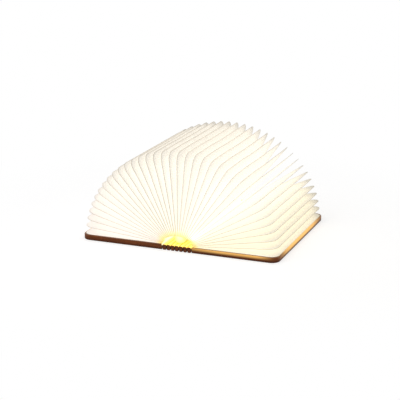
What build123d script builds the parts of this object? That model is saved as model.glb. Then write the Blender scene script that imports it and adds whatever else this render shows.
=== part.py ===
from build123d import *
import math
import os

# Folding book lamp, lying open and flat: two wooden covers, a kerfed wooden spine that bends,
# a fan of paper pages and a light bar along the spine. Millimetres.
# Origin: middle of the footprint, on the surface that the covers lie on. X runs across the
# open book, Y along the spine (the front edge is at -Y), Z up.

# ---- driving dimensions ----
open_width = 190.0            # free edge to free edge of the open covers
book_height = 143.0           # length of the spine
board_thickness = 5.0
cover_corner_radius = 8.0
cover_edge_round = 0.6

kerf_width = 0.95
kerfs_per_side = 4            # saw cuts from the spine's middle to one cover
kerf_chamfer = 0.45
bridge_length = 5.0           # wood left between two ribs, along the spine
bridge_height = 0.7
bridge_gap = 0.24             # between the two half bridges, so that they can turn
bridge_spacing = 24.0

pages_per_side = 17
page_thickness = 0.34         # one folded page, two plies glued at the rim
page_gap_closed = 0.07        # between two pages of the closed book
page_rim_radius = 8.0
page_edge_inset = 1.0         # from the covers' free edge, in the closed book
page_end_inset = 1.5          # from the covers' front and back edges
page_root_clearance = 0.6     # least height of a page's inner edge over the spine
page_bar_clearance = 0.4      # pages to the top of the light bar, in the closed book
endpaper_thickness = 0.3
endpaper_clearance = 0.24     # last page to endpaper, in the closed book

chamber_half_width = 14.0     # light chamber: the half-round tunnel under the pages
chamber_height = 8.4

tape_thickness = 0.4
tape_width = 3.0
tape_end_inset = 2.0          # tape to the ends of the tray
bar_end_inset = 7.3           # light bar to the front and back edges of the book
bar_side_clearance = 2.9      # light bar to the inside of the closed covers
tray_corner_rise = 1.7        # the tray's sloping foot
tray_wall = 0.8
tray_ledge = 0.3              # step in the wall that carries the LED board
tray_lip = 0.5                # tray's top over the LED board
lens_rise = 1.5
lens_wall = 0.6
lens_skirt = 0.3
cap_thickness = 1.2
fit_clearance = 0.05

cell_height = 2.6
cell_corner_radius = 0.8
cell_end_gap = 3.0            # cell to the front end of the tray
cell_top_gap = 0.2            # cell to the LED board over it
control_board_length = 44.0
control_board_thickness = 1.0
control_board_end_gap = 3.0   # board to the back end of the tray
board_chips = [               # x, distance from the board's front edge, length, width
    (-1.6, 10.0, 3.0, 3.0),
    (1.8, 17.0, 2.0, 1.2),
    (-1.5, 23.0, 1.6, 0.8),
    (1.5, 27.0, 1.6, 0.8),
]
board_chip_height = 0.8
led_board_thickness = 0.8
led_board_end_gap = 1.0       # LED board to the front end of the tray
led_board_socket_gap = 3.7    # LED board to the charge socket
led_count = 12
led_length = 3.5
led_width = 2.8
led_height = 0.7
sensor_length = 3.0
sensor_width = 1.6
sensor_height = 0.9
sensor_from_board_end = 12.0
lead_radius = 0.35
lead_spread = 2.0
lead_length = 6.0

socket_width = 7.5
socket_height = 2.6
socket_depth = 5.5
socket_shell = 0.3
socket_back = 1.0
tongue_width = 4.0
tongue_height = 0.6
tongue_recess = 0.6

magnet_radius = 3.0
magnet_height = 2.0
magnet_edge_distance = 7.0    # magnet centre to the cover's free edge
magnet_end_distance = 21.5    # magnet centre to the cover's front and back edges

# ---- worked out: the spine is just wide enough to close round the pages ----
half_width = open_width / 2
half_height = book_height / 2
page_step = 90.0 / (pages_per_side + 1)
page_pitch_closed = page_thickness + page_gap_closed

closed_inner = (
    page_pitch_closed * pages_per_side
    + page_thickness / 2
    + endpaper_clearance
    + endpaper_thickness
)

# the spine bends a page's step at the root of each page, at half the boards' thickness
leans = [math.radians(page_step * n) for n in range(1, pages_per_side + 1)]
hinge_height = board_thickness / 2
hinge_pitch = (closed_inner + hinge_height) / (0.5 + sum(math.cos(a) for a in leans))
bend_length = hinge_pitch * (pages_per_side + 1)
bend_radius = bend_length / math.radians(90)
cover_hinge = hinge_pitch * (pages_per_side + 0.5)
closed_hinge_height = hinge_height + hinge_pitch * sum(math.sin(a) for a in leans)
closed_page_top = closed_hinge_height + half_width - cover_hinge - page_edge_inset

kerf_pitch = bend_length / kerfs_per_side
rib_width = kerf_pitch - kerf_width
cover_start = kerf_pitch * (kerfs_per_side - 0.5) + kerf_width / 2

# ---- worked out: the light bar ----
bar_half_width = closed_inner - bar_side_clearance
bar_half_length = half_height - bar_end_inset
tray_half_length = bar_half_length - cap_thickness
tray_bottom = board_thickness + tape_thickness
tray_corner = tray_bottom + tray_corner_rise
cavity_half_width = bar_half_width - tray_wall
ledge_half_width = cavity_half_width + tray_ledge
floor_height = tray_corner + tray_wall / 2
led_board_bottom = floor_height + cell_height + cell_top_gap
tray_top = led_board_bottom + led_board_thickness + tray_lip
bar_top = tray_top + lens_rise
page_root_over_bar = bar_top + page_bar_clearance
board_back = tray_half_length - control_board_end_gap
board_front = board_back - control_board_length
cell_front = -tray_half_length + cell_end_gap
cell_back = board_front - lead_length
board_top = floor_height + control_board_thickness
socket_front = bar_half_length - socket_depth
led_board_front = -tray_half_length + led_board_end_gap
led_board_back = socket_front - led_board_socket_gap
magnet_x = half_width - magnet_edge_distance


def long_prism(points, half_length):
    """A bar along Y with the outline that the (x, z) points give."""
    outline = Plane.XZ * make_face(Polyline(*points, close=True))
    return extrude(outline, amount=half_length, both=True)


def box_between(low, high):
    size = [b - a for a, b in zip(low, high)]
    middle = [(a + b) / 2 for a, b in zip(low, high)]
    return Pos(*middle) * Box(*size)


def bridge_places(kerf):
    """Y positions of the bridges in one kerf, staggered from kerf to kerf."""
    first = bridge_spacing / 2 if kerf % 2 else 0.0
    count = int((half_height - bridge_length - first) / bridge_spacing) + 1
    ahead = [first + bridge_spacing * n for n in range(count)]
    return sorted({side * y for y in ahead for side in (-1, 1)})


def half_bridges(kerf, wall, side):
    """The bridge halves on one wall of a kerf; side is +1 where they point to +X."""
    tip = wall + side * (kerf_width - bridge_gap) / 2
    low_x, high_x = min(wall, tip), max(wall, tip)
    low_z = hinge_height - bridge_height / 2
    return [
        box_between(
            (low_x, y - bridge_length / 2, low_z),
            (high_x, y + bridge_length / 2, low_z + bridge_height),
        )
        for y in bridge_places(kerf)
    ]


def spine_rib(number):
    """One rib of the kerfed spine; number 0 is the middle one, 1 and up go to the right."""
    middle = kerf_pitch * number
    rib = Pos(middle, 0, hinge_height) * Box(rib_width, book_height, board_thickness)
    rib = chamfer(rib.edges().filter_by(Axis.Y), kerf_chamfer)
    left_kerf = number - 1 if number else 0
    pieces = half_bridges(left_kerf, middle - rib_width / 2, -1)
    pieces += half_bridges(number, middle + rib_width / 2, 1)
    return rib + pieces


def right_cover():
    width = half_width - cover_start
    outline = Rectangle(width, book_height)
    outline = fillet(outline.vertices().group_by(Axis.X)[-1], cover_corner_radius)
    board = Pos(cover_start + width / 2, 0, 0) * extrude(outline, amount=board_thickness)
    board = chamfer(board.edges().filter_by(Axis.Y).group_by(Axis.X)[0], kerf_chamfer)
    faces = board.faces().sort_by(Axis.Z)
    rim = [
        e
        for e in faces[0].edges() + faces[-1].edges()
        if e.center().X > cover_start + 2 * kerf_chamfer
    ]
    board = fillet(rim, cover_edge_round)
    board += half_bridges(kerfs_per_side - 1, cover_start, -1)
    pocket_radius = magnet_radius + fit_clearance
    pocket_depth = magnet_height + fit_clearance
    for y in magnet_places():
        pocket = Pos(magnet_x, y, board_thickness - pocket_depth / 2)
        board -= pocket * Cylinder(pocket_radius, pocket_depth)
    return board


def magnet_places():
    y = half_height - magnet_end_distance
    return [-y, y]


def right_magnets():
    height = board_thickness - fit_clearance - magnet_height / 2
    disc = Pos(magnet_x, 0, height) * Cylinder(magnet_radius, magnet_height)
    return Compound([Pos(0, y, 0) * disc for y in magnet_places()])


def right_endpaper():
    """The end page, glued flat on the cover."""
    start = cover_start + kerf_chamfer
    end = half_width - page_edge_inset
    length = 2 * (half_height - page_end_inset)
    outline = Rectangle(end - start, length)
    outline = fillet(outline.vertices().group_by(Axis.X)[-1], page_rim_radius)
    sheet = extrude(outline, amount=endpaper_thickness)
    return Pos((start + end) / 2, 0, board_thickness) * sheet


def page(number):
    """One page of the fan. Number 0 stands upright; 1 and up lean to the right."""
    lean = math.radians(page_step * number)
    along = (math.sin(lean), 0, math.cos(lean))
    across = (-math.cos(lean), 0, math.sin(lean))
    closed_x = page_pitch_closed * number
    offset = (bend_radius - hinge_height) * math.sin(lean) - closed_x
    root_x = bend_length * number / (pages_per_side + 1) + offset * across[0]
    root_z = board_thickness + offset * across[2]
    closed_root = hinge_height + bend_radius * (1 - math.cos(lean)) + hinge_height * math.cos(lean)
    outer = closed_page_top - closed_root
    inner = chamber_wall_distance(root_x, root_z, along)
    inner = max(inner, page_root_clearance)
    if closed_x < bar_half_width + page_thickness:
        inner = max(inner, page_root_over_bar - closed_root)
    outline = Rectangle(outer - inner, 2 * (half_height - page_end_inset))
    outline = fillet(outline.vertices().group_by(Axis.X)[-1], page_rim_radius)
    sheet = extrude(Pos((inner + outer) / 2, 0) * outline, amount=page_thickness / 2, both=True)
    return Plane(origin=(root_x, 0, root_z), x_dir=along, z_dir=across) * sheet


def chamber_wall_distance(root_x, root_z, along):
    """How far up a page's line the half-round wall of the light chamber is."""
    a = chamber_half_width
    b = chamber_height
    x = root_x
    z = root_z - board_thickness
    square = (along[0] / a) ** 2 + (along[2] / b) ** 2
    middle = x * along[0] / a**2 + z * along[2] / b**2
    rest = (x / a) ** 2 + (z / b) ** 2 - 1
    return (-middle + math.sqrt(max(middle**2 - square * rest, 0.0))) / square


def mounting_tape():
    return box_between(
        (-tape_width / 2, tape_end_inset - tray_half_length, board_thickness),
        (tape_width / 2, tray_half_length - tape_end_inset, tray_bottom),
    )


def tray_outline(shrink):
    """Right half of the tray's outside, or of its inside when shrunk by the wall."""
    foot = tape_width / 2 - shrink / 2
    return [
        (foot, tray_bottom + shrink),
        (bar_half_width - shrink, tray_corner + shrink / 2),
        (bar_half_width - shrink, tray_top),
    ]


def both_sides(points):
    return points + [(-x, z) for x, z in reversed(points)]


def light_bar_tray():
    tray = long_prism(both_sides(tray_outline(0.0)), tray_half_length)
    tray -= long_prism(both_sides(tray_outline(tray_wall)), tray_half_length)
    tray -= box_between(
        (-ledge_half_width, -tray_half_length, led_board_bottom),
        (ledge_half_width, tray_half_length, tray_top),
    )
    return tray


def lens_face(inset):
    """The lens's section, a low arch on the tray's top edges."""
    half = bar_half_width - inset
    shoulder = tray_top + lens_skirt
    arch = ThreePointArc((half, shoulder), (0, bar_top - inset), (-half, shoulder))
    sides = Polyline((-half, shoulder), (-half, tray_top), (half, tray_top), (half, shoulder))
    return Plane.XZ * make_face(arch + sides)


def diffuser_lens():
    shell = extrude(lens_face(0.0), amount=tray_half_length, both=True)
    return shell - extrude(lens_face(lens_wall), amount=tray_half_length, both=True)


def front_end_cap():
    body = long_prism(both_sides(tray_outline(0.0)), cap_thickness / 2)
    body += extrude(lens_face(0.0), amount=cap_thickness / 2, both=True)
    return Pos(0, -tray_half_length - cap_thickness / 2, 0) * body


def back_end_cap():
    body = front_end_cap().mirror(Plane.XZ)
    half = socket_width / 2 + fit_clearance
    low = board_top - fit_clearance
    high = board_top + socket_height + fit_clearance
    opening = box_between((-half, 0, low), (half, half_height, high))
    return body - opening


def battery_cell():
    half = cavity_half_width - 2 * fit_clearance
    cell = box_between(
        (-half, cell_front, floor_height),
        (half, cell_back, floor_height + cell_height),
    )
    return fillet(cell.edges().filter_by(Axis.Y), cell_corner_radius)


def control_board():
    half = cavity_half_width - 2 * fit_clearance
    board = box_between((-half, board_front, floor_height), (half, board_back, board_top))
    for x, from_front, length, width in board_chips:
        y = board_front + from_front
        height = board_top + board_chip_height / 2
        board += Pos(x, y, height) * Box(width, length, board_chip_height)
    return board


def charge_socket():
    """A small charging socket: a metal shell, open to the back, with a tongue inside."""
    top = board_top + socket_height
    half = socket_width / 2
    shell = box_between((-half, socket_front, board_top), (half, bar_half_length, top))
    shell -= box_between(
        (-half + socket_shell, socket_front + socket_back, board_top + socket_shell),
        (half - socket_shell, bar_half_length, top - socket_shell),
    )
    middle = (board_top + top) / 2
    tongue = box_between(
        (-tongue_width / 2, socket_front, middle - tongue_height / 2),
        (tongue_width / 2, bar_half_length - tongue_recess, middle + tongue_height / 2),
    )
    return shell + tongue


def hall_sensor():
    y = board_back - sensor_from_board_end
    return box_between(
        (-sensor_width / 2, y - sensor_length / 2, board_top),
        (sensor_width / 2, y + sensor_length / 2, board_top + sensor_height),
    )


def battery_leads():
    height = floor_height + control_board_thickness / 2
    middle = (cell_back + board_front) / 2
    leads = [
        Pos(x, middle, height) * Rot(90, 0, 0) * Cylinder(lead_radius, lead_length)
        for x in (-lead_spread, lead_spread)
    ]
    return Compound(leads)


def led_board():
    half = ledge_half_width - fit_clearance
    return box_between(
        (-half, led_board_front, led_board_bottom),
        (half, led_board_back, led_board_bottom + led_board_thickness),
    )


def led_chips():
    height = led_board_bottom + led_board_thickness + led_height / 2
    step = (led_board_back - led_board_front) / led_count
    places = [led_board_front + step * (n + 0.5) for n in range(led_count)]
    chips = [Pos(0, y, height) * Box(led_width, led_length, led_height) for y in places]
    return Compound(chips)


def all_parts():
    parts = {
        "cover_right": right_cover(),
        "endpaper_right": right_endpaper(),
        "magnets_right": right_magnets(),
        "spine_rib_centre": spine_rib(0),
        "page_centre": page(0),
        "mounting_tape": mounting_tape(),
        "light_bar_tray": light_bar_tray(),
        "diffuser_lens": diffuser_lens(),
        "end_cap_front": front_end_cap(),
        "end_cap_back": back_end_cap(),
        "battery_cell": battery_cell(),
        "battery_leads": battery_leads(),
        "control_board": control_board(),
        "charge_socket": charge_socket(),
        "hall_sensor": hall_sensor(),
        "led_board": led_board(),
        "led_chips": led_chips(),
    }
    for n in range(1, kerfs_per_side):
        parts[f"spine_rib_right_{n}"] = spine_rib(n)
    for n in range(1, pages_per_side + 1):
        parts[f"page_right_{n:02d}"] = page(n)
    for name in [n for n in parts if "_right" in n]:
        parts[name.replace("_right", "_left")] = parts[name].mirror(Plane.YZ)
    return parts


os.makedirs("parts", exist_ok=True)
for name, shape in all_parts().items():
    export_step(shape, f"parts/{name}.step")

hinges = [hinge_pitch * (n + 0.5) for n in range(pages_per_side + 1)]
print("hinges of the pages and, last, the cover: x =", [round(x, 4) for x in hinges])
print("their height:", hinge_height)
print("closed thickness:", round(2 * (closed_inner + board_thickness), 2))
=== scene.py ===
import math

import bmesh
import bpy
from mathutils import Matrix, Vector


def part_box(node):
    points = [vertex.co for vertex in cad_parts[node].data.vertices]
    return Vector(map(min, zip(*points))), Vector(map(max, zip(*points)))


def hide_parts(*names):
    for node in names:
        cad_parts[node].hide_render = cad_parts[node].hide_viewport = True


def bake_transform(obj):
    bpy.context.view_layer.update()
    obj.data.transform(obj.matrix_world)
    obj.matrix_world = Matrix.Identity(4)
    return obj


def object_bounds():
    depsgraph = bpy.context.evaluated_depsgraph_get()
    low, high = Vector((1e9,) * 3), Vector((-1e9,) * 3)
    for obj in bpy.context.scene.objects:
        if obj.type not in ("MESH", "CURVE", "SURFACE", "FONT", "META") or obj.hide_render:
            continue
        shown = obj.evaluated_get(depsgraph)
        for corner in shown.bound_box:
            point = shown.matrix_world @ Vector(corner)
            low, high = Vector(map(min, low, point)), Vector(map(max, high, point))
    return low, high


bl_info = {
    "name": "Folding book lamp",
    "version": (1, 0, 0),
    "blender": (4, 5, 0),
    "location": "3D View > Sidebar > Book lamp",
    "description": "Builds the paper fan, the wooden covers and the light bar of a folding book lamp",
    "category": "Object",
}

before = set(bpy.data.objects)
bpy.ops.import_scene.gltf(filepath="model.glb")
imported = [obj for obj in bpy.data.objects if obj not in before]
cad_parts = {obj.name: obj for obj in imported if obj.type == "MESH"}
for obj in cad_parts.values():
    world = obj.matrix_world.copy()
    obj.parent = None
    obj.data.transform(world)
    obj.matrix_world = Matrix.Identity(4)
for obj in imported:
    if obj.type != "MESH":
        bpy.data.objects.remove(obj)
CAD_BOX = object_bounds()

MM = 0.001
SIDES = {"right": 1, "left": -1}
PAGES = sum(name.startswith("page_right_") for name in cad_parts)
PAGE_STEP = math.radians(90 / (PAGES + 1))

# for the materials, in millimetres: half the open book's width and depth, a board's thickness
HALF_WIDTH = CAD_BOX[1][0] / MM
HALF_DEPTH = CAD_BOX[1][1] / MM
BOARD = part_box("cover_right")[1].z / MM


# ---- sizes and colours that a user would change ----


def length(name, description, default, low=0.0):
    return bpy.props.FloatProperty(
        name=name, description=description, default=default, min=low, unit="LENGTH", precision=5
    )


def colour(name, description, default):
    return bpy.props.FloatVectorProperty(
        name=name,
        description=description,
        default=default,
        min=0.0,
        max=1.0,
        size=3,
        subtype="COLOR",
    )


def share(name, description, default):
    return bpy.props.FloatProperty(
        name=name, description=description, default=default, min=0.0, max=4.0, subtype="FACTOR"
    )


class BookLampPaper(bpy.types.PropertyGroup):
    """The paper fan's sizes and colours."""

    page: length("Page", "Thickness of a page, two plies glued at the rim", 0.34 * MM)
    ply: length("Ply", "Thickness of one ply of a page", 0.13 * MM)
    corner: length("Corner", "Radius of a page's outer corners", 8.0 * MM)
    curl: length("Curl", "How far the upright page waves to either side", 0.55 * MM)
    edge_band: length("Edge band", "Width of the denser band along a page's cut edges", 0.5 * MM)
    white: colour("Paper", "Colour of the paper in daylight", (0.88, 0.87, 0.84))
    # painted shade: the darker colour along the pages' cut edges
    edge: colour("Cut edge", "Colour along the cut edges", (0.80, 0.74, 0.65))
    hub_glow: colour("Hub glow", "Light through the paper next to the light bar", (1.0, 0.68, 0.03))
    mid_glow: colour("Middle glow", "Light through the upright pages", (1.0, 0.93, 0.82))
    left_glow: colour("Left glow", "Light through the pages near the left cover", (1.0, 0.90, 0.84))
    right_glow: colour("Right glow", "Light through the pages near the right cover", (1.0, 0.90, 0.66))
    glow: share("Glow", "How brightly the paper shines", 0.6)


class BookLampWood(bpy.types.PropertyGroup):
    """The covers' and the spine's colours."""

    pale: colour("Pale grain", "Earlywood of the oiled veneer", (0.235, 0.105, 0.048))
    dark: colour("Dark grain", "Latewood of the oiled veneer", (0.085, 0.032, 0.014))
    edge: colour("Sawn edge", "The boards' sawn and oiled edges", (0.21, 0.058, 0.015))
    burnt: colour("Burnt wall", "Walls of the laser-cut kerfs", (0.016, 0.008, 0.005))
    # wear and painted highlight: the colour of the paler rounded arrises
    wear_and_highlight: colour("Worn edge", "Edges rubbed pale by handling", (0.36, 0.19, 0.09))
    # painted light: the glow colour painted on the boards' edges
    spill: colour("Spilt light", "The pages' light on the boards' edges", (0.80, 0.47, 0.13))


class BookLampLight(bpy.types.PropertyGroup):
    """The light bar's colours."""

    opal: colour("Opal", "The opal plastic of the lens and the end caps", (0.90, 0.85, 0.64))
    lit: colour("Lit opal", "Light through the opal plastic", (1.0, 0.90, 0.52))
    # painted light: the glow colour painted on the spine's inner faces
    spine_glow: colour("Lit lining", "Light on the inside of the spine", (1.0, 0.62, 0.01))
    shine: share("Shine", "How brightly the opal plastic shines", 0.70)


def paper_settings():
    return bpy.context.scene.book_lamp_paper


def wood_settings():
    return bpy.context.scene.book_lamp_wood


def light_settings():
    return bpy.context.scene.book_lamp_light


# ---- shader maths ----


class Wire:
    """An output socket of a shader node. Arithmetic on it adds Math nodes."""

    def __init__(self, finish, socket):
        self.finish = finish
        self.socket = socket

    def math(self, operation, *values):
        return self.finish.add("ShaderNodeMath", {"operation": operation}, *values)

    def __add__(self, other):
        return self.math("ADD", self, other)

    def __sub__(self, other):
        return self.math("SUBTRACT", self, other)

    def __rsub__(self, other):
        return self.math("SUBTRACT", other, self)

    def __mul__(self, other):
        return self.math("MULTIPLY", self, other)

    def __abs__(self):
        return self.math("ABSOLUTE", self)

    def __gt__(self, other):
        return self.math("GREATER_THAN", self, other)

    __radd__ = __add__
    __rmul__ = __mul__

    def wave(self):
        return self.math("SINE", self)

    def within(self, low, high):
        """0 below low, 1 above high, smooth between. With low above high it falls."""
        ramp = {"interpolation_type": "SMOOTHSTEP"}
        if low < high:
            return self.finish.add("ShaderNodeMapRange", ramp, self, low, high, 0.0, 1.0)
        return self.finish.add("ShaderNodeMapRange", ramp, self, high, low, 1.0, 0.0)

    def parts(self):
        return self.finish.outputs("ShaderNodeSeparateXYZ", {}, self)


class Finish:
    """One material under construction: its shader and the wires that feed it."""

    def __init__(self, name, **sockets):
        self.material = bpy.data.materials.new(name)
        self.material.use_nodes = True
        self.nodes = self.material.node_tree.nodes
        self.links = self.material.node_tree.links
        self.shader = self.nodes["Principled BSDF"]
        self.set(**sockets)

    def set(self, **sockets):
        for name, value in sockets.items():
            self.feed(self.shader.inputs[name.replace("_", " ")], value)
        return self.material

    def feed(self, socket, value):
        if isinstance(value, Wire):
            self.links.new(value.socket, socket)
        elif socket.type == "RGBA":
            socket.default_value = (*value, 1.0)[:4]
        else:
            socket.default_value = value

    def place(self, kind, settings, *values, **named):
        node = self.nodes.new(kind)
        for name, value in settings.items():
            setattr(node, name, value)
        sockets = [s for s in node.inputs if s.enabled]
        for socket, value in zip(sockets, values):
            self.feed(socket, value)
        for name, value in named.items():
            self.feed(node.inputs[name.replace("_", " ")], value)
        return node

    def outputs(self, kind, settings, *values, **named):
        node = self.place(kind, settings, *values, **named)
        return [Wire(self, s) for s in node.outputs if s.enabled]

    def add(self, kind, settings, *values, **named):
        return self.outputs(kind, settings, *values, **named)[0]

    def where(self):
        """The surface point in the lamp's own frame, in millimetres."""
        place = self.outputs("ShaderNodeTexCoord", {})[3]
        return self.add("ShaderNodeVectorMath", {"operation": "SCALE"}, place, Scale=1000.0)

    def facing(self):
        """The surface normal in the lamp's own frame."""
        return self.outputs("ShaderNodeTexCoord", {})[1]

    def stretched(self, vector, x, y, z):
        return self.add("ShaderNodeVectorMath", {"operation": "MULTIPLY"}, vector, (x, y, z))

    def noise(self, vector, scale, detail=3.0, rough=0.5, twist=0.0):
        return self.add(
            "ShaderNodeTexNoise",
            {},
            Vector=vector,
            Scale=scale,
            Detail=detail,
            Roughness=rough,
            Distortion=twist,
        )

    def cells(self, vector, scale, feature="F1"):
        return self.add("ShaderNodeTexVoronoi", {"feature": feature}, Vector=vector, Scale=scale)

    def mix(self, share, first, second):
        return self.add("ShaderNodeMix", {"data_type": "RGBA"}, share, first, second)

    def tint(self, value, colours):
        """Colours at given values of a wire, blended between."""
        node = self.place("ShaderNodeValToRGB", {}, value)
        ramp = node.color_ramp
        stops = list(colours.items())
        while len(ramp.elements) < len(stops):
            ramp.elements.new(0.5)
        for element, (place, shade) in zip(ramp.elements, stops):
            element.position = place
            element.color = (*shade, 1.0)
        return Wire(self, node.outputs[0])

    def bump(self, height, depth):
        return self.add("ShaderNodeBump", {}, Strength=1.0, Distance=depth, Height=height)


def scaled(shade, factor):
    return tuple(min(1.0, c * factor) for c in shade)


def picture_rays(nodes, links):
    """A socket that is 1 on camera, glossy and transmission rays, and 0 on the rays that light."""
    rays = nodes.new("ShaderNodeLightPath")
    seen = rays.outputs["Is Camera Ray"]
    for kind in ("Is Glossy Ray", "Is Transmission Ray"):
        either = nodes.new("ShaderNodeMath")
        either.operation = "MAXIMUM"
        links.new(seen, either.inputs[0])
        links.new(rays.outputs[kind], either.inputs[1])
        seen = either.outputs[0]
    return seen


# ---- materials ----


# no light of its own, where a glow is blended in
UNLIT = (0.0, 0.0, 0.0)


def paper_finish():
    """Fibrous white paper, lit through from the hub, with painted shade along its cut edges."""
    s = paper_settings()
    f = Finish("lit_fibrous_paper", Roughness=0.82, Emission_Strength=s.glow)
    f.shader.inputs["Specular IOR Level"].default_value = 0.25
    f.shader.inputs["Sheen Weight"].default_value = 0.15
    along, across, lean = f.outputs("ShaderNodeAttribute", {"attribute_name": "sheet"})[1].parts()
    # painted shade: within about 1 mm of a cut edge the paper is darker and glows less
    cut_edge_shade = f.outputs("ShaderNodeAttribute", {"attribute_name": "edge"})[2].within(1.0, 0.0)
    half_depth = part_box("page_centre")[1].y / MM
    spot = f.add("ShaderNodeCombineXYZ", {}, along, across, lean * 400.0)
    fibres = f.noise(f.stretched(spot, 1.0, 0.35, 1.0), 0.9, detail=6.0, rough=0.62, twist=1.6)
    clouds = f.noise(spot, 0.09, detail=2.0)
    strands = f.cells(f.stretched(spot, 0.6, 2.4, 1.0), 0.8, feature="DISTANCE_TO_EDGE")
    mottle = fibres * 0.6 + clouds * 0.4
    white = f.mix(mottle.within(0.35, 0.7), scaled(s.white, 0.95), scaled(s.white, 1.03))
    body = f.mix(cut_edge_shade, white, s.edge)
    left = (0.0 - lean).within(0.35, 0.95)
    right = lean.within(0.45, 0.98)
    glow = f.mix(left, s.mid_glow, s.left_glow)
    glow = f.mix(right, glow, s.right_glow)
    hub = along.within(8.0, 0.0)
    end = abs(across).within(half_depth - 6.0, half_depth - 0.5)
    glow = f.mix(hub * (0.15 + end * 0.85), glow, s.hub_glow)
    outer = along.within(50.0, 92.0)
    # the light bar stops short of the back, so the pages' far corners stay grey
    back = across.within(half_depth - 22.0, half_depth - 1.0)
    far_corner = back * along.within(62.0, 84.0)
    # every ply has a slightly different tone
    ply = lean * (2.0 * (PAGES + 1)) + 0.5
    tone = f.outputs("ShaderNodeTexWhiteNoise", {"noise_dimensions": "1D"}, ply)[0]
    level = 0.57 + hub * 0.28 - outer * 0.04 - (1.0 - clouds) * 0.05 - tone * 0.05
    # painted shade: the cut edges glow less, most on the creases left of the middle
    crease_shade = 0.38 + lean.within(-0.60, -0.36) * lean.within(0.06, -0.04) * 0.30
    level = (level - far_corner * 0.40) * (1.0 - cut_edge_shade * crease_shade)
    glow = f.mix(level, UNLIT, glow)
    return f.set(
        Base_Color=body,
        Emission_Color=glow,
        Normal=f.bump(fibres * 0.7 + strands.within(0.0, 0.12) * 0.3, 0.00005),
    )


def veneer_colours(f, spot, s):
    """Open-grained oiled veneer, its grain along the spine."""
    drift = f.noise(f.stretched(spot, 0.02, 0.008, 0.02), 1.0, detail=2.0)
    figure = f.stretched(spot, 0.16, 0.011, 0.16)
    rings = f.noise(figure, 1.0, detail=5.0, rough=0.55, twist=0.45) + drift * 0.35
    streaks = f.noise(f.stretched(spot, 2.6, 0.06, 2.6), 1.0, detail=4.0, rough=0.6)
    pores = f.noise(f.stretched(spot, 7.0, 0.35, 7.0), 1.0, detail=2.0).within(0.60, 0.68)
    grain = rings * 0.7 + streaks * 0.3
    face = f.tint(
        grain,
        {0.36: s.dark, 0.50: scaled(s.pale, 0.78), 0.60: s.pale, 0.72: scaled(s.pale, 1.25)},
    )
    return f.mix(pores * 0.55, face, scaled(s.dark, 0.6)), streaks * 0.6 + (1.0 - pores) * 0.4


def cover_finish():
    """Oiled wood: figured veneer on the faces, brown layered board at the edges, and painted light of
    the pages and the light bar on the edges and the walls beside the spine.
    """
    s = wood_settings()
    f = Finish("oiled_walnut_boards", Coat_Roughness=0.35, Emission_Strength=1.3)
    f.shader.inputs["Specular IOR Level"].default_value = 0.15
    spot = f.where()
    x, y, z = spot.parts()
    upright = abs(f.facing().parts()[2])
    face, relief = veneer_colours(f, spot, s)
    layers = f.noise(f.stretched(spot, 0.05, 0.05, 2.2), 1.0, detail=3.0, twist=0.2)
    scorch = f.noise(f.stretched(spot, 0.5, 0.5, 0.9), 1.0, detail=4.0)
    side = f.tint(
        layers * 0.7 + scorch * 0.3,
        {0.35: scaled(s.edge, 0.55), 0.52: s.edge, 0.68: scaled(s.edge, 1.6)},
    )
    # painted shade: the lower half of a board's sawn edge is darker than the upper half
    side = f.mix(z.within(BOARD * 0.68, BOARD * 0.12) * 0.72, side, scaled(s.edge, 0.30))
    wood = f.mix(upright.within(0.72, 0.38), face, side)
    # paler rounded arrises: rubbed wear, and a painted highlight on the bevels
    wear_and_highlight_mask = upright.within(0.30, 0.62) * upright.within(0.97, 0.80)
    nicks = f.noise(spot, 0.35, detail=5.0, rough=0.7).within(0.45, 0.65)
    wood = f.mix(wear_and_highlight_mask * nicks * 0.6, wood, s.wear_and_highlight)
    handled = f.noise(f.stretched(spot, 0.03, 0.03, 0.03), 1.0, detail=3.0)
    nx, ny, nz = f.facing().parts()
    # painted light: the pages' light on the boards' free edges, strongest in their middle
    flank = abs(x).within(HALF_WIDTH - 2.8, HALF_WIDTH - 0.8) * abs(y).within(HALF_DEPTH - 0.5, 30.0)
    flank = flank * z.within(BOARD * 0.16, BOARD * 0.72) * nz.within(-0.5, 0.0)
    # painted light of the light bar on the walls beside the spine
    inner = (x * nx).within(-4.0, -10.0) * z.within(BOARD * 0.64, BOARD * 0.88)
    # painted light of the pages on the right cover's front edge, fading toward the spine and the
    # corner
    rim = x.within(-20.0, 45.0) * x.within(HALF_WIDTH - 1.0, HALF_WIDTH - 21.0)
    rim = rim * ny.within(-0.2, -0.7) * z.within(BOARD * 0.32, BOARD * 0.94)
    spill = f.mix(layers.within(0.3, 0.7), s.spill, scaled(s.spill, 0.72))
    lit = light_settings().lit
    return f.set(
        Base_Color=wood,
        Emission_Color=f.mix(inner, f.mix(flank + rim * 0.9, UNLIT, spill), lit),
        Roughness=0.34 + handled * 0.22 + (1.0 - relief) * 0.10,
        Coat_Weight=upright.within(0.7, 1.0) * 0.16,
        Normal=f.bump(relief, 0.00006),
    )


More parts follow.
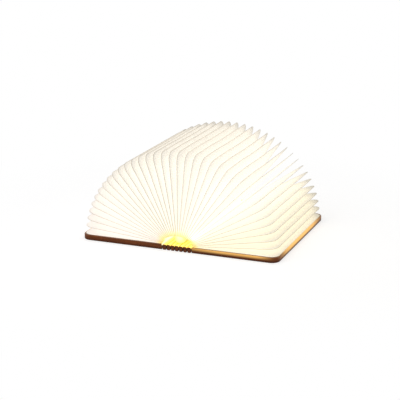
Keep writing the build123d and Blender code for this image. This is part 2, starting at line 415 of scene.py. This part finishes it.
def rib_finish():
    """The spine's ribs: veneer outside, burnt kerf walls, and painted light of the light bar on their
    inner faces.
    """
    s, glow = wood_settings(), light_settings()
    f = Finish("laser_cut_spine", Emission_Strength=0.9)
    f.shader.inputs["Specular IOR Level"].default_value = 0.3
    spot = f.where()
    z = spot.parts()[2]
    nx, ny, nz = f.facing().parts()
    face, relief = veneer_colours(f, spot, s)
    soot = f.noise(f.stretched(spot, 0.4, 1.6, 0.6), 1.0, detail=5.0, rough=0.65)
    wall = f.mix(soot.within(0.4, 0.7), s.burnt, scaled(s.edge, 0.5))
    wood = f.mix(abs(nx).within(0.35, 0.75), face, wall)
    ends = f.noise(f.stretched(spot, 1.4, 1.0, 1.4), 1.0, detail=4.0)
    end = f.mix(ends.within(0.35, 0.7), scaled(s.edge, 0.45), scaled(s.edge, 1.1))
    wood = f.mix(abs(ny).within(0.5, 0.9), wood, end)
    ends_off = 1.0 - abs(ny).within(0.5, 0.9)
    # painted light: the ribs' inner faces take a pale yellow colour and a glow, as if lit by the light
    # bar
    inside = z.within(BOARD - 1.5, BOARD - 0.5) * ends_off * (1.0 - nz.within(-0.4, -0.8))
    spine_glow = f.mix(soot, (0.82, 0.70, 0.38), (0.90, 0.80, 0.50))
    lit = f.mix(inside, UNLIT, scaled(glow.spine_glow, 0.9))
    return f.set(
        Base_Color=f.mix(inside, wood, spine_glow),
        Emission_Color=lit,
        Roughness=0.62 + soot * 0.2,
        Normal=f.bump(relief * 0.5 + soot * 0.5, 0.00005),
    )


def opal_finish():
    """Opal plastic, lit from inside, brightest along the middle."""
    s = light_settings()
    f = Finish("lit_opal_plastic", Emission_Strength=s.shine, Coat_Roughness=0.2)
    spot = f.where()
    x, _, z = spot.parts()
    haze = f.noise(spot, 0.25, detail=3.0)
    middle = abs(x).within(6.0, 0.5) * z.within(4.0, 10.0)
    lit = f.mix(middle, scaled(s.spine_glow, 0.95), s.lit)
    return f.set(
        Base_Color=f.mix(haze, scaled(s.opal, 0.96), s.opal),
        Emission_Color=lit,
        Roughness=0.32 + haze * 0.12,
        Normal=f.bump(f.noise(spot, 3.0, detail=2.0), 0.00001),
    )


def aluminium_finish():
    """Satin anodised aluminium with fine drawing lines along the bar."""
    f = Finish("drawn_aluminium", Metallic=1.0)
    spot = f.where()
    lines = f.noise(f.stretched(spot, 14.0, 0.05, 14.0), 1.0, detail=3.0)
    cloud = f.noise(spot, 0.08, detail=2.0)
    return f.set(
        Base_Color=f.mix(lines * 0.5 + cloud * 0.5, (0.62, 0.62, 0.63), (0.80, 0.80, 0.81)),
        Roughness=0.30 + lines * 0.16,
        Normal=f.bump(lines, 0.00001),
    )


def nickel_finish():
    """Bright nickel plate with a faint orange-peel surface."""
    f = Finish("nickel_plate", Metallic=1.0)
    spot = f.where()
    peel = f.noise(spot, 1.8, detail=3.0)
    stain = f.noise(spot, 0.4, detail=4.0).within(0.45, 0.8)
    return f.set(
        Base_Color=f.mix(stain, (0.73, 0.70, 0.65), (0.60, 0.56, 0.50)),
        Roughness=0.12 + stain * 0.20,
        Normal=f.bump(peel, 0.00001),
    )


def foam_tape_finish():
    """White closed-cell foam tape."""
    f = Finish("foam_tape", Roughness=0.9)
    bubbles = f.cells(f.where(), 2.2)
    return f.set(
        Base_Color=f.mix(bubbles.within(0.1, 0.6), (0.80, 0.80, 0.78), (0.66, 0.66, 0.64)),
        Normal=f.bump(bubbles, 0.00008),
    )


def cell_finish():
    """Silvery pouch of a flat cell: crinkled film, a sealed hem and a tape wrap at the lead end."""
    f = Finish("silvery_pouch", Coat_Weight=0.3)
    spot = f.where()
    y = spot.parts()[1]
    crinkle = f.noise(f.stretched(spot, 0.5, 0.16, 0.5), 1.0, detail=4.0, twist=1.2)
    low, high = (v / MM for v in span("battery_cell", 1))
    wrap = y.within(high - 6.2, high - 5.8)
    hem = y.within(low + 2.4, low + 2.0)
    film = f.mix(crinkle.within(0.3, 0.7), (0.50, 0.52, 0.54), (0.68, 0.69, 0.71))
    film = f.mix(hem * 0.6, film, (0.36, 0.37, 0.39))
    return f.set(
        Base_Color=f.mix(wrap, film, (0.58, 0.38, 0.06)),
        Metallic=0.75 - wrap * 0.75,
        Roughness=0.30 + crinkle * 0.18,
        Normal=f.bump(crinkle + hem * 0.4 + wrap * 0.3, 0.00006),
    )


def lead_finish():
    """Soft insulation, red on one lead and black on the other."""
    f = Finish("lead_insulation", Roughness=0.45)
    spot = f.where()
    x = spot.parts()[0]
    dust = f.noise(spot, 2.0, detail=3.0)
    red = f.mix(dust, (0.45, 0.02, 0.015), (0.60, 0.05, 0.03))
    black = f.mix(dust, (0.012, 0.012, 0.012), (0.035, 0.035, 0.035))
    return f.set(Base_Color=f.mix(x > 0.0, black, red), Normal=f.bump(dust, 0.00001))


def board_finish():
    """Circuit board: solder mask over copper tracks, tinned pads, a black body on each chip."""
    f = Finish("circuit_board", Coat_Roughness=0.15)
    spot = f.where()
    z = spot.parts()[2]
    # the board is 1 mm thick and lies on the same floor as the cell
    top = span("battery_cell", 2)[0] / MM + 1.0
    grid = f.add("ShaderNodeVectorMath", {"operation": "SNAP"}, spot, (0.8, 1.1, 9.0))
    lot = f.outputs("ShaderNodeTexWhiteNoise", {}, Vector=grid)[0]
    track = f.cells(f.stretched(spot, 0.9, 0.45, 0.0), 1.0, feature="DISTANCE_TO_EDGE")
    copper = track.within(0.10, 0.06)
    mask = f.mix(copper, (0.006, 0.075, 0.030), (0.018, 0.16, 0.060))
    pads = (lot > 0.86) * (z.within(top - 0.12, top - 0.04)) * (z.within(top + 0.12, top + 0.04))
    chip = z.within(top + 0.08, top + 0.14)
    body = f.mix(lot.within(0.0, 1.0), (0.014, 0.014, 0.015), (0.028, 0.028, 0.030))
    shade = f.mix(pads, mask, (0.74, 0.73, 0.70))
    return f.set(
        Base_Color=f.mix(chip, shade, body),
        Metallic=pads * (1.0 - chip),
        Roughness=0.28 + chip * 0.30,
        Coat_Weight=0.4 - chip * 0.4,
        Normal=f.bump(copper * 0.5 + pads * 0.5, 0.00003),
    )


def led_board_finish():
    """White-masked LED board with a pair of tinned pads between the LEDs, and painted light of the
    LEDs as a weak warm glow.
    """
    f = Finish("white_led_board", Coat_Weight=0.3)
    spot = f.where()
    x, y, _ = spot.parts()
    low, high = (v / MM for v in span("led_chips", 1))
    pitch = (high - low) / 12
    rail = abs(abs(x) - 3.4).within(0.35, 0.22)
    speck = f.noise(spot, 1.4, detail=3.0)
    stripe = ((y - low) * (2 * math.pi / pitch)).wave().within(0.85, 0.95)
    white = f.mix(speck, (0.84, 0.84, 0.82), (0.90, 0.90, 0.88))
    return f.set(
        Base_Color=f.mix(rail * stripe, white, (0.72, 0.62, 0.42)),
        Metallic=rail * stripe,
        Roughness=0.35 + speck * 0.1,
        # painted light: the LEDs' light on the white board
        Emission_Color=(1.0, 0.86, 0.50),
        Emission_Strength=0.25,
        Normal=f.bump(rail * 0.6 + speck * 0.4, 0.00003),
    )


def led_finish():
    """LED packages: a yellow phosphor window in a white frame, lit."""
    f = Finish("lit_phosphor", Roughness=0.4, Emission_Strength=1.2)
    spot = f.where()
    x = spot.parts()[0]
    window = abs(x).within(1.15, 1.0) * f.facing().parts()[2].within(0.5, 0.9)
    grit = f.noise(spot, 4.0, detail=3.0)
    phosphor = f.mix(grit, (0.86, 0.66, 0.12), (0.95, 0.78, 0.24))
    return f.set(
        Base_Color=f.mix(window, (0.86, 0.86, 0.84), phosphor),
        Emission_Color=f.mix(window, (0.3, 0.26, 0.16), (1.0, 0.80, 0.32)),
        Normal=f.bump(grit, 0.00001),
    )


def sensor_finish():
    """Black moulded epoxy with a matt grain."""
    f = Finish("black_epoxy")
    spot = f.where()
    grain = f.noise(spot, 6.0, detail=4.0)
    return f.set(
        Base_Color=f.mix(grain, (0.012, 0.012, 0.013), (0.030, 0.030, 0.032)),
        Roughness=0.55 + grain * 0.15,
        Normal=f.bump(grain, 0.00001),
    )


def steel_finish():
    """Stamped steel with a seam and fine rolling marks."""
    f = Finish("stamped_steel", Metallic=1.0)
    spot = f.where()
    x = spot.parts()[0]
    marks = f.noise(f.stretched(spot, 8.0, 0.5, 8.0), 1.0, detail=3.0)
    seam = abs(x).within(0.14, 0.06)
    return f.set(
        Base_Color=f.mix(marks, (0.46, 0.46, 0.47), (0.62, 0.62, 0.63)),
        Roughness=0.24 + marks * 0.16,
        Normal=f.bump(marks * 0.3 - seam * 0.7, 0.00003),
    )


def span(node, axis):
    low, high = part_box(node)
    return low[axis], high[axis]


def coat(node, material):
    """Gives a CAD node its finish."""
    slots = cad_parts[node].data.materials
    slots.clear()
    slots.append(material)


# ---- the paper fan ----

# points from a ply's rim to its fold, and how much wider the steps get toward the fold
PLY_STEPS = 15
DEPTH_SPREAD = 1.15
# points along half a page's straight edge, and around a quarter of its rounded corner
EDGE_STEPS = 7
CORNER_STEPS = 10
FOLD_STEPS = 5
# what a fold takes off its plies' length, and how far the folds bulge toward the light bar
FOLD_DEPTH = 1.2 * MM
FOLD_BULGE = 1.08 * MM
LAST_FOLD_BULGE = 0.35 * MM
# how far the end page lies above the board
GLUE = 0.02 * MM
# edges of the paper that bend more than this show as sharp
SHARP_EDGE = math.radians(50)
# wavelengths of the pages' waves over 2 pi
LONG_WAVE = 19 * MM
SHORT_WAVE = 8.3 * MM


class Page:
    """One page of a side at rest. Number 0 is the upright page in the middle."""

    def __init__(self, side, number, settings):
        lean = PAGE_STEP * number
        self.number = number
        self.turn = SIDES[side]
        self.node = f"page_{side}_{number:02d}" if number else "page_centre"
        self.body = self.node if number else "spine"
        low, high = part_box(self.node)
        if self.turn < 0:
            low.x, high.x = -high.x, -low.x
        half = settings.page / 2
        inner = (low.x + half * math.cos(lean), low.z + half * math.sin(lean))
        outer = (high.x - half * math.cos(lean), high.z - half * math.sin(lean))
        self.inner = Vector((self.turn * inner[0], 0, inner[1]))
        self.along = Vector((self.turn * math.sin(lean), 0, math.cos(lean)))
        self.across = Vector((self.turn * math.cos(lean), 0, -math.sin(lean)))
        self.length = math.dist(inner, outer)
        self.half_depth = high.y
        self.share = number / (PAGES + 1)


def columns(half_depth, settings):
    """Places along the spine, close together at a page's rounded corners and cut edges."""
    straight = half_depth - settings.corner
    ahead = [straight * n / EDGE_STEPS for n in range(EDGE_STEPS + 1)]
    ahead += [
        straight + settings.corner * math.sin(math.pi / 2 * n / CORNER_STEPS)
        for n in range(1, CORNER_STEPS + 1)
    ]
    ahead.append(half_depth - settings.edge_band)
    # rounded to a tenth of a micrometre, so that a place that comes twice is kept once
    ahead = sorted({round(y, 7) for y in ahead})
    return [-v for v in reversed(ahead) if v] + ahead


def depths(reach, settings):
    """Distances from the rim at which a ply has its points: a narrow band, then wider steps."""
    band = settings.edge_band
    steps = PLY_STEPS - 2
    shares = [(n / steps) ** DEPTH_SPREAD for n in range(steps + 1)]
    return [0.0] + [band + (reach - band) * share for share in shares]


def shortening(y, half_depth, settings):
    """How much shorter a page is at y, because of its rounded corners."""
    past = max(0.0, abs(y) - (half_depth - settings.corner))
    return settings.corner - math.sqrt(max(0.0, settings.corner**2 - past**2))


def edge_distance(distance, y, length, half_depth, settings):
    """How far a point of a page is from its nearest cut edge."""
    past_side = abs(y) - (half_depth - settings.corner)
    past_rim = distance - (length - settings.corner)
    if past_side > 0 and past_rim > 0:
        return max(0.0, settings.corner - math.hypot(past_side, past_rim))
    return max(0.0, min(half_depth - abs(y), length - distance))


def wave(from_rim, y, length):
    """The gentle wave that the pages share, so that they still lie flat on each other."""
    fade = max(0.0, 1 - from_rim / (length * 0.8))
    fade = fade * fade * (3 - 2 * fade)
    return fade * (math.sin(y / LONG_WAVE + 0.7) * 0.6 + math.sin(y / SHORT_WAVE + 2.0) * 0.25)


def ply_points(page, toward, y, settings):
    """A ply's points from the rim to the hub at one y, each as its place, its distance from the
    hub, its lean and its distance from the cut edge. toward is +1 for the ply that faces the
    cover, and -1 for the one that faces the middle."""
    short = shortening(y, page.half_depth, settings)
    reach = page.length - short
    root = page.inner + page.across * (toward * (settings.page - settings.ply) * 0.49)
    curl = settings.curl * (1 - page.share) * page.turn
    points = []
    for depth in depths(reach - FOLD_DEPTH, settings):
        distance = reach - depth
        sway = page.across * (curl * wave(depth + short, y, page.length))
        place = root + page.along * distance + sway + Vector((0, y, 0))
        rim = edge_distance(distance, y, page.length, page.half_depth, settings)
        points.append((place, distance, page.turn * page.share, rim))
    return points


def glued_points(page, inner, outer, y, height, settings):
    """The same for the far ply of the last pleat, which lies glued on the board."""
    length = abs(outer - inner)
    reach = length - shortening(y, page.half_depth, settings)
    points = []
    for depth in depths(reach, settings):
        distance = reach - depth
        place = Vector((inner + page.turn * distance, y, height))
        rim = edge_distance(distance, y, length, page.half_depth, settings)
        points.append((place, distance, float(page.turn), rim))
    return points


def fold_between(start, end, inward, height):
    """A round fold from the inner end of one ply to that of the next, bulging by height."""
    points = []
    for n in range(1, FOLD_STEPS + 1):
        turn = math.pi * n / (FOLD_STEPS + 1)
        bulge = height * math.sin(turn)
        place = start[0].lerp(end[0], (1 - math.cos(turn)) / 2) + inward * bulge
        points.append((place, start[1] - bulge, (start[2] + end[2]) / 2, min(start[3], end[3])))
    return points


def sheet_piece(name, rows, settings):
    """A thin closed sheet over a grid of points, with its paper coordinates kept as attributes."""
    bm = bmesh.new()
    sheet = bm.verts.layers.float_vector.new("sheet")
    edge = bm.verts.layers.float.new("edge")
    grid = []
    for row in rows:
        line = []
        for place, distance, lean, rim in row:
            vert = bm.verts.new(place)
            vert[sheet] = (distance / MM, place.y / MM, lean)
            vert[edge] = rim / MM
            line.append(vert)
        grid.append(line)
    for first, second in zip(grid, grid[1:]):
        for a, b, c, d in zip(first, first[1:], second[1:], second):
            bm.faces.new((a, b, c, d))
    bm.normal_update()
    thicken(bm, settings.ply, (sheet, edge))
    mesh = bpy.data.meshes.new(name)
    bm.to_mesh(mesh)
    bm.free()
    mesh.shade_smooth()
    mesh.set_sharp_from_angle(angle=SHARP_EDGE)
    piece = bpy.data.objects.new(name, mesh)
    bpy.context.scene.collection.objects.link(piece)
    return piece


def thicken(bm, thickness, layers):
    """Turns an open sheet into a closed one, half its thickness to either side."""
    verts, faces = list(bm.verts), list(bm.faces)
    rim = [e for e in bm.edges if e.is_boundary]
    twin = {}
    for v in verts:
        twin[v] = bm.verts.new(v.co - v.normal * (thickness / 2))
        for layer in layers:
            twin[v][layer] = v[layer]
    for v in verts:
        v.co = v.co + v.normal * (thickness / 2)
    for face in faces:
        bm.faces.new([twin[v] for v in reversed(face.verts)])
    for e in rim:
        (loop,) = e.link_loops
        a, b = loop.vert, loop.link_loop_next.vert
        bm.faces.new((b, a, twin[a], twin[b]))


class BOOKLAMP_OT_paper_fan(bpy.types.Operator):
    """Folds the paper fan: a pleat between each two neighbouring pages of a side"""

    bl_idname = "book_lamp.paper_fan"
    bl_label = "Paper fan"

    def execute(self, context):
        settings = paper_settings()
        paper = paper_finish()
        for side in SIDES:
            pages = [Page(side, n, settings) for n in range(PAGES + 1)]
            for near, far in zip(pages, pages[1:]):
                self.pleat(side, near, far, settings, paper)
            self.last_pleat(side, pages[-1], settings, paper)
        return {"FINISHED"}

    def pleat(self, side, near, far, settings, paper):
        """A ply of each of two neighbouring pages, joined by a fold at the hub."""
        inward = -(near.along + far.along).normalized()
        rows = []
        for y in columns(near.half_depth, settings):
            down = ply_points(near, 1, y, settings)
            up = ply_points(far, -1, y, settings)[::-1]
            rows.append(down + fold_between(down[-1], up[0], inward, FOLD_BULGE) + up)
        piece = sheet_piece(f"pleat_{side}_{far.number:02d}", rows, settings)
        # the middle of the gap between the two pages, and half the gap to either side of it
        normal = (near.across + far.across).normalized()
        middle = (near.inner + far.inner) / 2
        reach = normal * ((far.inner - near.inner).dot(normal) * 0.5)
        self.finish(piece, paper, (near.body, far.body), middle - reach, middle + reach)
        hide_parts(far.node, *([] if near.number else [near.node]))

    def last_pleat(self, side, page, settings, paper):
        """The last page's far ply and the end page, which is glued flat on the board."""
        low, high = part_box(f"endpaper_{side}")
        inner, outer = (low.x, high.x) if page.turn > 0 else (high.x, low.x)
        height = low.z + settings.ply / 2 + GLUE
        inward = Vector((-page.turn, 0, 0))
        rows = []
        for y in columns(page.half_depth, settings):
            down = ply_points(page, 1, y, settings)
            up = glued_points(page, inner, outer, y, height, settings)[::-1]
            rows.append(down + fold_between(down[-1], up[0], inward, LAST_FOLD_BULGE) + up)
        piece = sheet_piece(f"pleat_{side}_{PAGES + 1:02d}", rows, settings)
        gap = page.inner.z - low.z
        middle = Vector((page.inner.x, 0, low.z + gap / 2))
        reach = Vector((0, 0, -gap * 0.4))
        bodies = (page.body, f"{side}_cover")
        self.finish(piece, paper, bodies, middle - reach, middle + reach)
        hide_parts(f"endpaper_{side}")

    def finish(self, piece, paper, bodies, start, end):
        piece.data.materials.append(paper)
        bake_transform(piece)


# ---- the wooden case, the light bar and what it holds ----


class BOOKLAMP_OT_wooden_case(bpy.types.Operator):
    """Finishes the covers, the kerfed spine and the magnets in the covers"""

    bl_idname = "book_lamp.wooden_case"
    bl_label = "Wooden case"

    def execute(self, context):
        boards, ribs, plate = cover_finish(), rib_finish(), nickel_finish()
        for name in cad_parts:
            if name.startswith("cover_"):
                coat(name, boards)
            elif name.startswith("spine_rib"):
                coat(name, ribs)
            elif name.startswith("magnets_"):
                coat(name, plate)
        return {"FINISHED"}


class BOOKLAMP_OT_light_bar(bpy.types.Operator):
    """Finishes the light bar's tray, lens, end caps and tape"""

    bl_idname = "book_lamp.light_bar"
    bl_label = "Light bar"

    def execute(self, context):
        opal = opal_finish()
        for name in ("diffuser_lens", "end_cap_front", "end_cap_back"):
            coat(name, opal)
        coat("light_bar_tray", aluminium_finish())
        coat("mounting_tape", foam_tape_finish())
        return {"FINISHED"}


class BOOKLAMP_OT_electronics(bpy.types.Operator):
    """Finishes the cell, the boards, the LEDs, the sensor and the charging socket"""

    bl_idname = "book_lamp.electronics"
    bl_label = "Electronics"

    def execute(self, context):
        coat("battery_cell", cell_finish())
        coat("battery_leads", lead_finish())
        coat("control_board", board_finish())
        coat("led_board", led_board_finish())
        coat("led_chips", led_finish())
        coat("hall_sensor", sensor_finish())
        coat("charge_socket", steel_finish())
        return {"FINISHED"}


# ---- the stage ----

CAMERA_AT = (0.4121, -1.0615, 0.3661)
CAMERA_TURN = math.radians(21.48)
CAMERA_DIP = math.radians(16.52)
# focal length and sensor width in millimetres
CAMERA_LENS = 113.4
SENSOR = 36.0

WHITE = (1.0, 1.0, 1.0)
SKY_STRENGTH = 0.42
STUDIO_LAMPS = {
    "key_light": {
        "at": (-0.5, -0.6, 1.1),
        "aim": (0.0, 0.0, 0.03),
        "size": 0.9,
        "power": 3.6,
        "shade": (1.0, 0.99, 0.97),
    },
    "warm_side_light": {
        "at": (0.9, 0.1, 0.28),
        "aim": (0.0, 0.0, 0.02),
        "size": 0.5,
        "power": 0.7,
        "shade": (1.0, 0.82, 0.55),
    },
}

# half the floor's width, and how far it lies under the covers
FLOOR_HALF = 6.0
FLOOR_GAP = 0.2 * MM
FLOOR_PLAIN = (0.79, 0.79, 0.79)
FLOOR_CATCH = (0.50, 0.50, 0.505)
FLOOR_GLOW = 0.70
# the lamp's shadow shows up to the first distance, in millimetres, and is gone at the second
SHADOW_REACH = 130.0
BACKDROP_START = 330.0


def soft_box(name, at, aim, size, power, shade):
    """A square studio lamp at a point, aimed at another."""
    lamp = bpy.data.lights.new(name, "AREA")
    lamp.size = size
    lamp.energy = power
    lamp.color = shade
    box = bpy.data.objects.new(name, lamp)
    box.location = at
    box.rotation_euler = (Vector(aim) - Vector(at)).to_track_quat("-Z", "Y").to_euler()
    bpy.context.scene.collection.objects.link(box)


def floor_finish():
    """White floor: plain to the light, and white with the lamp's soft shadow to the camera."""
    f = Finish("white_floor")
    tree = f.material.node_tree
    tree.nodes.remove(f.shader)
    plain = f.add("ShaderNodeBsdfDiffuse", {}, FLOOR_PLAIN)
    catch = f.add("ShaderNodeBsdfDiffuse", {}, FLOOR_CATCH)
    bright = f.add("ShaderNodeEmission", {}, WHITE, FLOOR_GLOW)
    near = f.add("ShaderNodeAddShader", {}, catch, bright)
    far = f.add("ShaderNodeEmission", {}, WHITE, 1.0)
    away = f.add("ShaderNodeVectorMath", {"operation": "LENGTH"}, f.where())
    both = f.add("ShaderNodeMixShader", {}, away.within(SHADOW_REACH, BACKDROP_START), near, far)
    seen = Wire(f, picture_rays(f.nodes, f.links))
    mixed = f.add("ShaderNodeMixShader", {}, seen, plain, both)
    tree.links.new(mixed.socket, tree.nodes["Material Output"].inputs["Surface"])
    return f.material


class BOOKLAMP_OT_stage(bpy.types.Operator):
    """Sets up the floor, the studio light and the camera"""

    bl_idname = "book_lamp.stage"
    bl_label = "Studio stage"

    def execute(self, context):
        self.floor()
        self.light(context.scene)
        self.camera(context.scene)
        return {"FINISHED"}

    def floor(self):
        mesh = bpy.data.meshes.new("studio_floor")
        half = FLOOR_HALF
        corners = [(-half, -half, 0), (half, -half, 0), (half, half, 0), (-half, half, 0)]
        mesh.from_pydata(corners, [], [(0, 1, 2, 3)])
        floor = bpy.data.objects.new("studio_floor", mesh)
        floor.location.z = -FLOOR_GAP
        mesh.materials.append(floor_finish())
        bpy.context.scene.collection.objects.link(floor)

    def light(self, scene):
        world = bpy.data.worlds.new("studio")
        scene.world = world
        world.use_nodes = True
        nodes, links = world.node_tree.nodes, world.node_tree.links
        mixed = nodes.new("ShaderNodeMixShader")
        links.new(picture_rays(nodes, links), mixed.inputs[0])
        soft, white = nodes["Background"], nodes.new("ShaderNodeBackground")
        for place, (shader, strength) in enumerate(((soft, SKY_STRENGTH), (white, 1.0)), 1):
            shader.inputs["Color"].default_value = (*WHITE, 1.0)
            shader.inputs["Strength"].default_value = strength
            links.new(shader.outputs[0], mixed.inputs[place])
        links.new(mixed.outputs[0], nodes["World Output"].inputs[0])
        for name, lamp in STUDIO_LAMPS.items():
            soft_box(name, **lamp)

    def camera(self, scene):
        level = math.cos(CAMERA_DIP)
        forward = Vector(
            (-math.sin(CAMERA_TURN) * level, math.cos(CAMERA_TURN) * level, -math.sin(CAMERA_DIP))
        )
        lens = bpy.data.cameras.new("photo_camera")
        lens.sensor_width = SENSOR
        lens.lens = CAMERA_LENS
        lens.clip_start, lens.clip_end = 0.05, 20.0
        camera = bpy.data.objects.new("photo_camera", lens)
        camera.location = CAMERA_AT
        camera.rotation_euler = forward.to_track_quat("-Z", "Y").to_euler()
        scene.collection.objects.link(camera)
        scene.camera = camera
        scene.view_settings.view_transform = "Standard"


# ---- the add-on ----

OPERATORS = (
    BOOKLAMP_OT_paper_fan,
    BOOKLAMP_OT_wooden_case,
    BOOKLAMP_OT_light_bar,
    BOOKLAMP_OT_electronics,
    BOOKLAMP_OT_stage,
)


class BOOKLAMP_PT_panel(bpy.types.Panel):
    """Lists the lamp's sizes, colours and building steps"""

    bl_idname = "BOOKLAMP_PT_panel"
    bl_label = "Book lamp"
    bl_space_type = "VIEW_3D"
    bl_region_type = "UI"
    bl_category = "Book lamp"

    def draw(self, context):
        for group in (paper_settings(), wood_settings(), light_settings()):
            box = self.layout.box()
            for name in group.bl_rna.properties.keys():
                if name not in ("rna_type", "name"):
                    box.prop(group, name)
        for operator in OPERATORS:
            self.layout.operator(operator.bl_idname)


CLASSES = (BookLampPaper, BookLampWood, BookLampLight, *OPERATORS, BOOKLAMP_PT_panel)


def register():
    for cls in CLASSES:
        bpy.utils.register_class(cls)
    scene = bpy.types.Scene
    scene.book_lamp_paper = bpy.props.PointerProperty(type=BookLampPaper)
    scene.book_lamp_wood = bpy.props.PointerProperty(type=BookLampWood)
    scene.book_lamp_light = bpy.props.PointerProperty(type=BookLampLight)


def unregister():
    del bpy.types.Scene.book_lamp_light
    del bpy.types.Scene.book_lamp_wood
    del bpy.types.Scene.book_lamp_paper
    for cls in reversed(CLASSES):
        bpy.utils.unregister_class(cls)


def main():
    register()
    bpy.ops.book_lamp.paper_fan()
    bpy.ops.book_lamp.wooden_case()
    bpy.ops.book_lamp.light_bar()
    bpy.ops.book_lamp.electronics()
    bpy.ops.book_lamp.stage()


if __name__ == "__main__":
    main()
